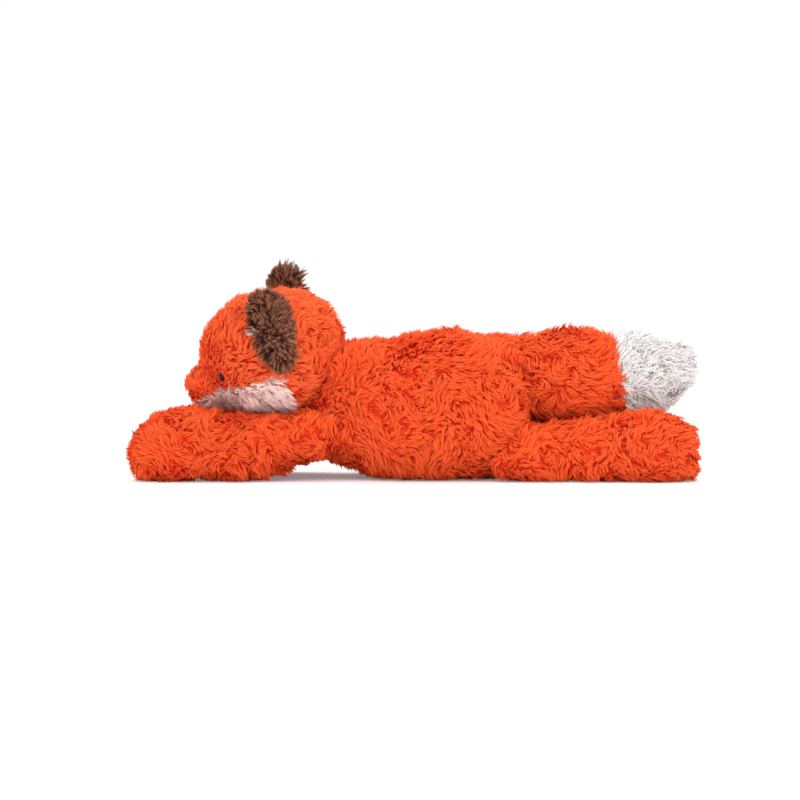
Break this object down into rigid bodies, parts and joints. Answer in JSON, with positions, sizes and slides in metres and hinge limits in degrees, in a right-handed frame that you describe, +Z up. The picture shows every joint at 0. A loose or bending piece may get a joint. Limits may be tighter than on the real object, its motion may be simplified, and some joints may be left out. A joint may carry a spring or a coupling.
{
  "type": "plush fox",
  "caption": "35 cm plush fox lying on its belly: orange long-pile fur, white cheeks and tail tip, brown ears, soft sewn joints at neck, legs, ears and tail",
  "frame": {"origin": "on the surface the toy lies on, under the middle of its overall length and width", "axes": "+Z up, -X toward the nose and front paws, +X toward the tail and hind feet, -Y the toy's own left side"},
  "size_m": [0.35, 0.1137, 0.1357],
  "materials": {
    "orange_fur": "matte",
    "white_fur": "matte",
    "brown_fur": "matte",
    "black_plastic": "gloss",
    "washer_plastic": "satin",
    "fibre_fill": "matte",
    "cotton_cloth": "matte",
    "pellet_plastic": "satin",
    "orange_thread": "matte"
  },
  "bodies": {
    "body": {"body_skin": "orange_fur", "body_stuffing": "fibre_fill", "pellet_pouch": "cotton_cloth", "pellets": "pellet_plastic", "closing_thread": "orange_thread"},
    "head": {"head_skin": "orange_fur", "left_cheek": "white_fur", "right_cheek": "white_fur", "head_stuffing": "fibre_fill", "left_eye": "black_plastic", "right_eye": "black_plastic", "left_eye_washer": "washer_plastic", "right_eye_washer": "washer_plastic", "nose": "black_plastic", "nose_washer": "washer_plastic"},
    "left_ear": {"left_ear_back": "brown_fur", "left_ear_front": "white_fur"},
    "right_ear": {"right_ear_back": "brown_fur", "right_ear_front": "white_fur"},
    "left_front_leg": {"left_front_leg_skin": "orange_fur", "left_front_leg_stuffing": "fibre_fill"},
    "right_front_leg": {"right_front_leg_skin": "orange_fur", "right_front_leg_stuffing": "fibre_fill"},
    "left_hind_leg": {"left_hind_leg_skin": "orange_fur", "left_hind_leg_stuffing": "fibre_fill"},
    "right_hind_leg": {"right_hind_leg_skin": "orange_fur", "right_hind_leg_stuffing": "fibre_fill"},
    "tail": {"tail_skin": "orange_fur", "tail_tip": "white_fur", "tail_stuffing": "fibre_fill"}
  },
  "joints": [
    {"name": "neck_nod", "type": "hinge", "parent": "body", "child": "head", "pos_m": [-0.058, 0, 0.062], "axis": [0, 1, 0], "range_deg": [0, 25], "stiffness_Nm_per_rad": 0.05},
    {"name": "left_ear_fold", "type": "hinge", "parent": "head", "child": "left_ear", "pos_m": [-0.081, -0.049, 0.071], "axis": [0.8829, 0.4695, 0], "range_deg": [0, 50], "stiffness_Nm_per_rad": 0.01},
    {"name": "right_ear_fold", "type": "hinge", "parent": "head", "child": "right_ear", "pos_m": [-0.082, 0.049, 0.086], "axis": [-0.8829, 0.4695, 0], "range_deg": [0, 50], "stiffness_Nm_per_rad": 0.01},
    {"name": "left_shoulder_splay", "type": "hinge", "parent": "body", "child": "left_front_leg", "pos_m": [-0.05, -0.03, 0.029], "axis": [0, 0, 1], "range_deg": [0, 35], "stiffness_Nm_per_rad": 0.03},
    {"name": "right_shoulder_splay", "type": "hinge", "parent": "body", "child": "right_front_leg", "pos_m": [-0.05, 0.03, 0.029], "axis": [0, 0, -1], "range_deg": [0, 35], "stiffness_Nm_per_rad": 0.03},
    {"name": "left_hip_splay", "type": "hinge", "parent": "body", "child": "left_hind_leg", "pos_m": [0.056, -0.033, 0.0165], "axis": [0, 0, -1], "range_deg": [0, 30], "stiffness_Nm_per_rad": 0.03},
    {"name": "right_hip_splay", "type": "hinge", "parent": "body", "child": "right_hind_leg", "pos_m": [0.056, 0.033, 0.0165], "axis": [0, 0, 1], "range_deg": [0, 30], "stiffness_Nm_per_rad": 0.03},
    {"name": "tail_lift", "type": "hinge", "parent": "body", "child": "tail", "pos_m": [0.06, 0, 0.062], "axis": [0, -1, 0], "range_deg": [0, 30], "stiffness_Nm_per_rad": 0.03}
  ]
}
